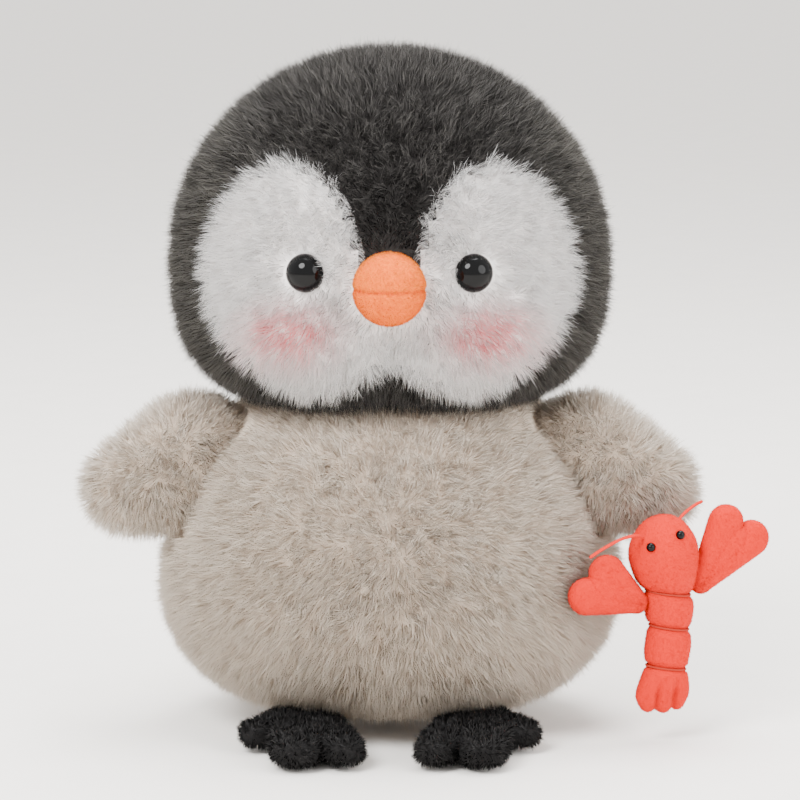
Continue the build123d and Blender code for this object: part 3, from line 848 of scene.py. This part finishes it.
def build_body():
    """Backings and pile of the five body panels, the filling and the pellet bag."""
    rng = np.random.default_rng(21)
    c, s = colours(), sizes()
    depth = s.backing_depth * MM
    backing = cloth_material("body_backing", c.shaded_grey_root, 0.7)
    look = pile_material("body_pile", c.grey_deep, c.grey, c.grey_light, c.shaded_grey_root, 0.42)
    form = turned(body_profile(depth - 0.5), BODY_DEPTH)
    roots, out = form.scatter(density(), rng)
    label = body_labels(roots)
    hidden = in_wing(roots + 3 * out, 1, 0.5) | in_wing(roots + 3 * out, -1, 0.5)
    keep = ~hidden & (roots[:, 2] < PILE_TOP)
    roots, out, label = (a[keep] for a in (roots, out, label))
    _, patch = hash_field(roots, 5.0, rng)
    speckle = np.clip(1.2 - np.hypot(roots[:, 0] / 60, (roots[:, 2] - 70) / 45), 0, 1)
    tone = 0.58 + 0.2 * (patch - 0.5) + 0.1 * rng.normal(size=len(roots))
    tone = tone - 0.22 * speckle * (rng.uniform(0, 1, len(roots)) > 0.6)
    length = np.full(len(roots), s.long_pile * MM)
    near_floor = np.clip((roots[:, 2] + 2) / 12, 0.10, 1)
    length = np.where(label == BASE, np.clip(length * 0.3, 0, 3), length * near_floor)
    wing_side = in_wing(roots, 1, 7) | in_wing(roots, -1, 7)
    length = np.where(wing_side, length * 0.7, length)
    length = length * np.clip(1 - (roots[:, 2] - 112) / 45, 0.5, 1)
    lean = unit(np.stack([roots[:, 0], 0 * tone, roots[:, 2] - 75], 1)) * 0.25 - 0.15 * UP
    lean = np.where(wing_side[:, None], lean * 2.0, lean)
    for index, name in enumerate(BODY_PANELS):
        mine = label == index
        pile = make_pile(f"{name}_pile", roots[mine], out[mine], tone[mine], length[mine], rng,
                         lean=lean[mine], tuft=0.2, droop=0.0 if index == BASE else 0.12)
        dress(pile, look, ())
        shell_of(f"{name}_backing", form, lambda p, k=index: body_labels(p) == k, (name,), backing)
    fill = form_object("body_fill", turned(body_profile(depth + 2), BODY_DEPTH), 96, 60)
    dress(fill, bpy.data.materials["fibre"], ("body_stuffing",))
    bag_cloth = cloth_material("pellet_bag_cloth", (0.80, 0.79, 0.75), 0.8, 500.0, 1.0)
    turn = np.linspace(-np.pi / 2, np.pi / 2, 40)
    rows = np.stack([BAG_HALF_WIDTH * np.cos(turn) ** 0.8, BAG_LEVEL + 18 * np.sin(turn)], 1)
    bag = form_object("pellets", turned(rows, BAG_HALF_DEPTH / BAG_HALF_WIDTH, bulge=pellets), 160, 60)
    dress(bag, bag_cloth, ("pellet_bag",))


def wing_shape(side, inset):
    """One wing, drawn in by inset."""
    origin = WING_AXIS * (side, 1, 1)
    return pillow(WING, origin, (side, 0, 0), UP, (0, -1, 0), WING_HALF_THICKNESS, 0.72, inset)


def build_wings():
    """Both wings, with the looks of the body."""
    look, backing = bpy.data.materials["body_pile"], bpy.data.materials["body_backing"]
    fibre = bpy.data.materials["fibre"]
    for side, name in SIDES:
        rng = np.random.default_rng(31 + side)
        body = f"{name}_wing"
        form = wing_shape(side, 4.6)
        roots, out = form.scatter(density() * 1.15, rng)
        centre = np.array([side * 95.0, WING_AXIS[1], 100.0])
        spoke = unit((roots - centre) * (1, 0, 1))
        _, patch = hash_field(roots, 4.5, rng)
        inward = np.clip((90 - np.abs(roots[:, 0])) / 30, 0, 1)
        # painted shade: the fibres darken towards the body, where the wing meets it
        tone = 0.66 + 0.2 * (patch - 0.5) + 0.1 * rng.normal(size=len(roots)) - 0.25 * inward
        apart = np.hypot(roots[:, 0] - centre[0], roots[:, 2] - centre[2])
        length = sizes().long_pile * 900 * (1 - 0.30 * inward)
        lean = spoke * (0.15 + 0.35 * np.clip(apart / 30, 0, 1))[:, None] - 0.1 * UP
        for face, sign in (("front", -1), ("back", 1)):
            node = f"{name}_wing_{face}_panel"
            mine = (roots[:, 1] - WING_AXIS[1]) * sign > 0
            pile = make_pile(f"{node}_pile", roots[mine], out[mine], tone[mine], length[mine], rng,
                             lean=lean[mine], tuft=0.2, body=body)
            dress(pile, look, ())
            shell_of(f"{node}_backing", form,
                     lambda p, k=sign: (p[:, 1] - WING_AXIS[1]) * k >= 0, (node,),
                     backing, body=body, wide=96, tall=60)
        fill = form_object(f"{name}_wing_fill", wing_shape(side, 6.0), 64, 40, body)
        dress(fill, fibre, (f"{name}_wing_stuffing",))


# heel and toes: out, forward as minus, and radius
HEEL = (34.0, -46.0, 16.0)
TOES = ((17.0, -84.5, 8.5), (35.5, -84.5, 10.5), (51.5, -57.0, 8.0))


def foot_forms(side, inset):
    """Three toes that run together in the heel."""
    return [pillow((HEEL, toe), (0, 0, FOOT_HALF_HEIGHT), (side, 0, 0), (0, 1, 0), UP,
                   FOOT_HALF_HEIGHT, 0.62, inset) for toe in TOES]


def build_feet():
    """Sole, upper, pile and filling of both feet."""
    c, s = colours(), sizes()
    cloth = cloth_material("foot_backing", (0.075, 0.07, 0.07), 0.7, 1200.0)
    # painted shade: the fourth colour darkens the fibres' roots, for the shade deep in the pile
    look = pile_material("foot_pile", (0.07, 0.065, 0.065), c.foot, (0.26, 0.245, 0.24),
                         (0.03, 0.03, 0.03), 0.1, 0.6)
    fibre = bpy.data.materials["fibre"]
    for side, name in SIDES:
        rng = np.random.default_rng(41 + side)
        forms = foot_forms(side, 1.4)
        points, faces = join_forms(forms, 120, 48)
        points[:, 2] = np.maximum(points[:, 2], LOWEST_FIBRE)
        below = points[faces].mean(axis=1)[:, 2] <= SOLE_TOP
        for node, mask in ((f"{name}_foot_sole", below), (f"{name}_foot_upper", ~below)):
            dress(part_of(f"{node}_cloth", points, faces, mask), cloth, (node,))
        points, faces = join_forms(foot_forms(side, 2.6), 60, 24)
        dress(new_object(f"{name}_foot_fill", points, faces), fibre, (f"{name}_foot_stuffing",))
        roots, out = scatter_all(forms, 2.6, rng)
        inside = np.hypot(roots[:, 0], roots[:, 1] / BODY_DEPTH) < body_half_width(roots[:, 2], 8)
        keep = (roots[:, 2] > 1.5) & ~inside
        roots, out = roots[keep], out[keep]
        tone = 0.4 + 0.2 * rng.normal(size=len(roots))
        pile = make_pile(f"{name}_foot_pile", roots, out, tone, s.foot_pile * MM, rng, width=0.3,
                         lean=np.array([0, -0.4, -0.1]), tuft=0.3, droop=0.1, cell=3.0)
        dress(pile, look, ())


# ---------------------------------------------------------------- lobster
# height, half width, half depth and shift sideways
LOBSTER_SECTIONS = (
    (12.0, 6.0, 3.0, 0.0), (14.0, 10.0, 4.8, 0.0), (20.0, 12.0, 6.2, 0.2), (30.0, 9.8, 7.2, 1.5),
    (38.0, 10.2, 8.2, 2.2), (46.0, 9.6, 8.2, 2.6), (53.0, 10.6, 9.2, 2.6), (60.0, 10.6, 9.6, 2.0),
    (67.0, 13.4, 11.6, 0.8), (75.0, 14.8, 12.8, 0.0), (82.0, 13.2, 11.6, 0.0),
    (88.0, 8.6, 7.6, 0.0), (90.5, 3.6, 3.2, 0.0),
)
SEAMS = (30.0, 46.0, 60.0)
SEAM_TILT = 1.2
TAIL_FOLDS = (-3.6, 3.6)


def lobster_place(sideways, forward, height):
    """Point given in the lobster's own directions."""
    return LOBSTER + ACROSS * sideways + FACING * forward + UP * height


def lobster_shape(inset):
    """Head, segments and scalloped tail, drawn in by inset."""
    rows = smooth_rows(LOBSTER_SECTIONS, 300)
    foot, top = (rows[0, 0] + 0.2, 0, 0, rows[0, 3]), (rows[-1, 0] + 0.3, 0, 0, rows[-1, 3])
    rows = np.vstack([foot, rows, top])
    key = np.r_[0, np.cumsum(np.hypot(np.diff(rows[:, 0]), np.diff(rows[:, 1])))]
    key = key / key[-1]

    def place(s, t):
        height, wide, deep, shift = (np.interp(t, key, rows[:, k]) for k in range(4))
        turn = 2 * np.pi * s
        tilted = height + SEAM_TILT * np.cos(turn)
        drawn = sum(1.5 * np.exp(-((tilted - seam) / 1.5) ** 2) for seam in SEAMS)
        wide = np.maximum(wide - inset - drawn, 0)
        deep = np.maximum(deep - inset - drawn, 0)
        fold = 0
        for line in TAIL_FOLDS:
            near = np.exp(-((wide * np.cos(turn) - line) / 1.1) ** 2)
            fold = fold + near * np.clip((27 - height) / 8, 0, 1)
        deep = deep * (1 - 0.45 * fold)
        x, y = shift + wide * np.cos(turn), deep * np.sin(turn)
        edge = 1.8 * np.clip((18 - height) / 6, 0, 1)
        height = height - edge * np.abs(np.cos(np.pi * x / 7.2)) + edge
        return LOBSTER + x[:, None] * ACROSS + y[:, None] * FACING + height[:, None] * UP

    return Form(place, lobster_place(1, 0, 55))


# side, root of the arm and the two lobes: across and height
CLAWS = {"inner": (-1, (-14.8, 57.0), (-24.0, 69.0), (-32.6, 60.5)),
         "outer": (1, (19.6, 63.0), (26.6, 86.0), (37.7, 79.0))}


def claw_shapes(name, inset):
    """Two lobes and the web between them, all drawn from the arm's root."""
    side, root, *lobes = CLAWS[name]
    forms = []
    middle = np.mean(lobes, axis=0) * 0.82 + np.array(root) * 0.18
    for x, z in (*lobes, middle):
        circles = ((root[0] - side * 3.4, root[1], 5.2), (x, z, 7.9))
        forms.append(pillow(circles, LOBSTER, ACROSS, UP, FACING, 5.4, 0.85, inset))
    return forms


def tube(path, radius, wide=10):
    """Round tube along a path, with closed ends."""
    path = np.asarray(path, float)
    way = unit(np.gradient(path, axis=0))
    one = unit(np.cross(way, unit(np.array([0.31, 0.52, 0.79]))))
    two = np.cross(way, one)
    turn = np.linspace(0, 2 * np.pi, wide, endpoint=False)
    ring = np.cos(turn)[None, :, None] * one[:, None] + np.sin(turn)[None, :, None] * two[:, None]
    size = np.full(len(path), radius)
    size[[0, -1]] = radius * 0.35
    points = (path[:, None] + ring * size[:, None, None]).reshape(-1, 3)
    row, column = np.meshgrid(np.arange(len(path) - 1), np.arange(wide), indexing="ij")
    a, b = (row * wide + column).ravel(), (row * wide + (column + 1) % wide).ravel()
    return points, np.stack([a, b, b + wide, a + wide], 1)


def facing_way(sign):
    """Test for points on the lobster's front, or with a sign of -1 on its back."""
    return lambda points: ((points - LOBSTER) @ FACING) * sign >= 0


def velour(name, forms, rng, body):
    """Short nap of the lobster, darker in its seams."""
    roots, out = scatter_all(forms, 7.0, rng)
    _, patch = hash_field(roots, 3.0, rng)
    height = roots[:, 2]
    seam = sum(np.exp(-((height - line) / 1.6) ** 2) for line in SEAMS) if body == "lobster" else 0
    tone = 0.52 + 0.22 * (patch - 0.5) + 0.13 * rng.normal(size=len(roots)) - 0.45 * seam
    pile = make_pile(name, roots, out, tone, sizes().velour_pile * MM, rng, width=0.14,
                     tuft=0.14, stray=0.2, droop=0.2, body=body, cell=2.5)
    return dress(pile, bpy.data.materials["lobster_pile"], ())


def build_lobster():
    """Panels, nap and filling of the lobster and its claws, then the trim."""
    rng = np.random.default_rng(51)
    c = colours()
    cloth = cloth_material("lobster_backing", c.lobster_deep, 0.85, 1500.0)
    # painted shade: the roots take the shaded colour, for the shade deep in the nap
    pile_material("lobster_pile", c.lobster_deep, c.lobster, (1.0, 0.32, 0.06), c.lobster_deep, 0.3)
    fibre = bpy.data.materials["fibre"]
    form = lobster_shape(0.8)
    for node, sign in (("lobster_front_panel", 1), ("lobster_back_panel", -1)):
        shell_of(f"{node}_velour", form, facing_way(sign), (node,), cloth,
                 body="lobster", wide=96, tall=160)
    velour("lobster_pile", [form], rng, "lobster")
    dress(form_object("lobster_fill", lobster_shape(1.8), 48, 80, "lobster"), fibre,
          ("lobster_stuffing",))
    for name in ("inner", "outer"):
        body = f"{name}_claw"
        forms = claw_shapes(name, 0.7)
        points, faces = join_forms(forms, 72, 40)
        middle = points[faces].mean(axis=1)
        for node, sign in ((f"{name}_claw_front_panel", 1), (f"{name}_claw_back_panel", -1)):
            panel = part_of(f"{node}_velour", points, faces, facing_way(sign)(middle), body)
            dress(panel, cloth, (node,))
        velour(f"{name}_claw_pile", forms, rng, body)
        points, faces = join_forms(claw_shapes(name, 1.8), 40, 24)
        dress(new_object(f"{name}_claw_fill", points, faces, body=body), fibre,
              (f"{name}_claw_stuffing",))
    build_lobster_trim(form)


def on_lobster(form, sideways, height):
    """Point and outward direction on the lobster's front, at a place across and up."""
    s = np.linspace(0, 0.5, 200)
    t = np.linspace(0.02, 0.98, 300)
    grid_s, grid_t = (a.ravel() for a in np.meshgrid(s, t))
    points = form.place(grid_s, grid_t)
    across = (points - LOBSTER) @ ACROSS
    best = np.argmin((across - sideways) ** 2 + (points[:, 2] - height) ** 2)
    return points[best], form.normals(grid_s, grid_t)[best]


# feelers: across, forward of the middle, height
FEELERS = {
    "inner": ((-9.0, 3.0, 82.0), (-14.4, 6.9, 84.6), (-21.0, 8.0, 84.0), (-28.0, 7.6, 81.0),
              (-34.0, 6.0, 77.0)),
    "outer": ((5.0, 0.0, 86.0), (8.8, -2.9, 89.0), (13.0, -5.5, 91.0), (16.8, -7.2, 92.5),
              (20.5, -8.5, 93.5)),
}


BEADS = (("inner", -9.0, 80.0), ("outer", 2.5, 84.0))
BEAD_RADIUS = 1.8
THREAD_SINK = 1.7


def build_lobster_trim(form):
    """Bead eyes, feelers, segment threads and the thread that ties it to the wing."""
    bead = plastic_material("bead_plastic", colours().black, 0.12)
    thread = cloth_material("thread", (0.62, 0.16, 0.10), 0.8, 3000.0)
    strand = cloth_material("feeler_thread", colours().lobster_deep, 0.85, 3000.0)
    turn = np.linspace(-np.pi / 2, np.pi / 2, 24)
    ball = [(BEAD_RADIUS * np.cos(a), 0.5 + BEAD_RADIUS * np.sin(a)) for a in turn]
    for name, sideways, height in BEADS:
        point, out = on_lobster(form, sideways, height)
        one = unit(np.cross(UP, out))
        shape = spun(ball, point, one, np.cross(out, one), out)
        dress(form_object(f"lobster_{name}_bead", shape, 32, 24, "lobster"), bead,
              (f"lobster_{name}_eye",))
    for name, line in FEELERS.items():
        path = np.array([lobster_place(*row) for row in line])
        path = even_rows(smooth_rows(path, 60), 48)
        points, faces = tube(path, 0.6, 12)
        dress(new_object(f"lobster_{name}_feeler_cord", points, faces, body="lobster"), strand,
              (f"lobster_{name}_feeler",))
    rings, ring_faces, offset = [], [], 0
    rows = smooth_rows(LOBSTER_SECTIONS, 300)
    turn = np.linspace(0, 2 * np.pi, 97)
    for seam in SEAMS:
        wide, deep, shift = (np.interp(seam, rows[:, 0], rows[:, k]) for k in (1, 2, 3))
        path = [lobster_place(shift + (wide - THREAD_SINK) * np.cos(a), (deep - THREAD_SINK) * np.sin(a),
                              seam - SEAM_TILT * np.cos(a)) for a in turn]
        points, faces = tube(path, 0.45, 8)
        rings.append(points)
        ring_faces.append(faces + offset)
        offset += len(points)
    dress(new_object("segment_threads", np.vstack(rings), np.vstack(ring_faces), body="lobster"),
          thread, ("lobster_segment_threads",))
    low, high = (np.array(corner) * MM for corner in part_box("lobster_tie_thread"))
    centre = (low + high) / 2
    reach = (high[1] - low[1]) / 2 - 0.4
    turn = np.linspace(0, 2 * np.pi, 49)
    path = [centre + np.array([0.6 * np.cos(a), reach * np.cos(a), 0.9 * np.sin(a)]) for a in turn]
    points, faces = tube(path, 0.35, 8)
    dress(new_object("tie_thread", points, faces, body="left_wing"), thread,
          ("lobster_tie_thread",))


# ================================================================ stage
FLOOR_REACH = 30.0
LENS = 157.5
SENSOR = 36.0
SKY = 1.9


def area_light(name, place, size, power, aim):
    """Round white light at a place, turned towards an aim, in metres and watts."""
    data = bpy.data.lights.new(name, "AREA")
    data.shape, data.size, data.energy = "DISK", size, power
    obj = bpy.data.objects.new(name, data)
    obj.location = place
    obj.rotation_euler = (Vector(aim) - Vector(place)).to_track_quat("-Z", "Y").to_euler()
    bpy.context.scene.collection.objects.link(obj)
    return obj


def build_stage():
    """Floor, three lights, sky and camera."""
    mesh = bpy.data.meshes.new("floor")
    signs = ((-1, -1), (1, -1), (1, 1), (-1, 1))
    mesh.from_pydata([(x * FLOOR_REACH, y * FLOOR_REACH, 0) for x, y in signs], [], [(0, 1, 2, 3)])
    floor = bpy.data.objects.new("floor", mesh)
    bpy.context.scene.collection.objects.link(floor)
    mesh.materials.append(cloth_material("paper", colours().floor, 0.97, 30.0, 0.0, 0.95, 0.1))
    key = area_light("key_light", (-0.75, -1.15, 1.35), 0.9, 62, (0, 0, 0.13))
    fill = area_light("fill_light", (1.3, -0.9, 0.7), 1.2, 26, (0, 0, 0.12))
    top = area_light("top_light", (0.1, 0.25, 1.6), 1.0, 44, (0, 0, 0.15))
    world = bpy.data.worlds.new("studio")
    world.use_nodes = True
    back = world.node_tree.nodes["Background"]
    back.inputs[0].default_value = (1.0, 0.99, 0.98, 1.0)
    back.inputs[1].default_value = SKY
    bpy.context.scene.world = world
    data = bpy.data.cameras.new("camera")
    data.lens, data.sensor_width = LENS, SENSOR
    camera = bpy.data.objects.new("camera", data)
    aim = Vector(CAMERA_AIM) / MM
    back_and_up = Vector((0, -np.cos(CAMERA_TILT), np.sin(CAMERA_TILT)))
    camera.location = aim + back_and_up * CAMERA_AWAY / MM
    camera.rotation_euler = (aim - camera.location).to_track_quat("-Z", "Y").to_euler()
    bpy.context.scene.collection.objects.link(camera)
    bpy.context.scene.camera = camera


# ================================================================ add-on
def operator(idname, label, text, build):
    """Operator class that builds one group of pieces."""

    def execute(self, context):
        build()
        return {"FINISHED"}

    name = "PENGUIN_OT_" + idname
    return type(name, (bpy.types.Operator,), {
        "bl_idname": f"penguin.{idname}", "bl_label": label, "__doc__": text, "execute": execute})


STEPS = (
    ("head", "Head", "Adds the head's panels, pile and filling", build_head),
    ("face", "Face", "Adds the eyes, their washers and the beak", build_face),
    ("body", "Body", "Adds the body's panels, pile, filling and pellet bag", build_body),
    ("wings", "Wings", "Adds both wings", build_wings),
    ("feet", "Feet", "Adds both feet", build_feet),
    ("lobster", "Lobster", "Adds the lobster with its claws, eyes and feelers", build_lobster),
    ("stage", "Stage", "Adds the floor, lights and camera", build_stage),
)
OPERATORS = [operator(*step) for step in STEPS]


class PENGUIN_PT_panel(bpy.types.Panel):
    """Buttons and settings of the plush penguin."""

    bl_label = "Plush Penguin"
    bl_idname = "PENGUIN_PT_panel"
    bl_space_type = "VIEW_3D"
    bl_region_type = "UI"
    bl_category = "Penguin"

    def draw(self, context):
        for idname, label, text, build in STEPS:
            self.layout.operator(f"penguin.{idname}", text=label)
        for group in (context.scene.penguin_sizes, context.scene.penguin_colours):
            for key in group.__annotations__:
                self.layout.prop(group, key)


CLASSES = (PenguinSizes, PenguinColours, *OPERATORS, PENGUIN_PT_panel)


def register():
    """Add the classes and the scene's settings."""
    for item in CLASSES:
        bpy.utils.register_class(item)
    bpy.types.Scene.penguin_sizes = bpy.props.PointerProperty(type=PenguinSizes)
    bpy.types.Scene.penguin_colours = bpy.props.PointerProperty(type=PenguinColours)


def unregister():
    """Take them away again."""
    del bpy.types.Scene.penguin_colours
    del bpy.types.Scene.penguin_sizes
    for item in reversed(CLASSES):
        bpy.utils.unregister_class(item)


def main():
    """Register, run every step in order and write the sizes."""
    register()
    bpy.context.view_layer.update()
    for step in STEPS:
        getattr(bpy.ops.penguin, step[0])()


if __name__ == "__main__":
    main()
